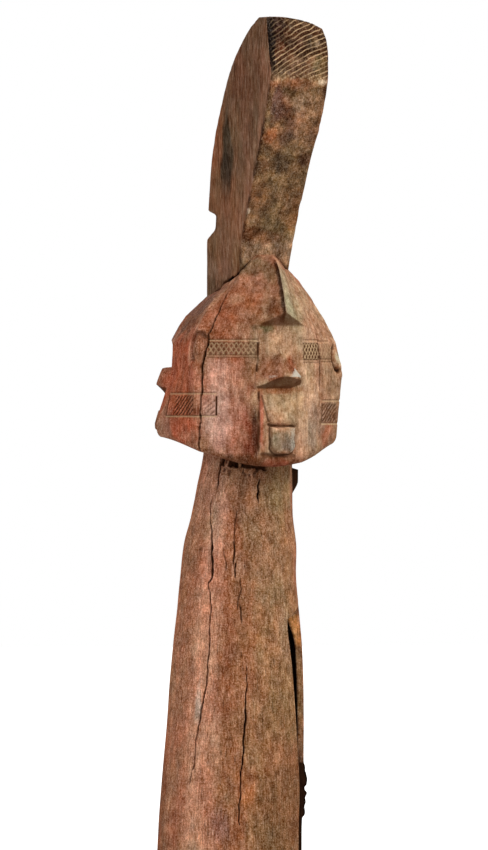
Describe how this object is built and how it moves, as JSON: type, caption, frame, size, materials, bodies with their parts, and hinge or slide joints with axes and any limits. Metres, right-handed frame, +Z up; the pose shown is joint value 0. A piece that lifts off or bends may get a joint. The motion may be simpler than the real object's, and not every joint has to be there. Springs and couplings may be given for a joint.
{
  "type": "carved reliquary post",
  "caption": "Tall one-piece carved wooden post: hollow slotted shaft, head with geometric faces round it, and a broad blade leaning forward above.",
  "frame": {"origin": "middle of the flat-cut foot of the shaft", "axes": "+Z up along the post, -Y towards the front face that the blade leans over, +X to the front face's left hand"},
  "size_m": [0.2431, 0.2797, 1.45],
  "materials": {
    "weathered_wood": "dry, weathered, reddish brown with grey-brown and dark stains"
  },
  "bodies": {
    "root": {"reliquary_post": "weathered_wood"}
  },
  "joints": []
}
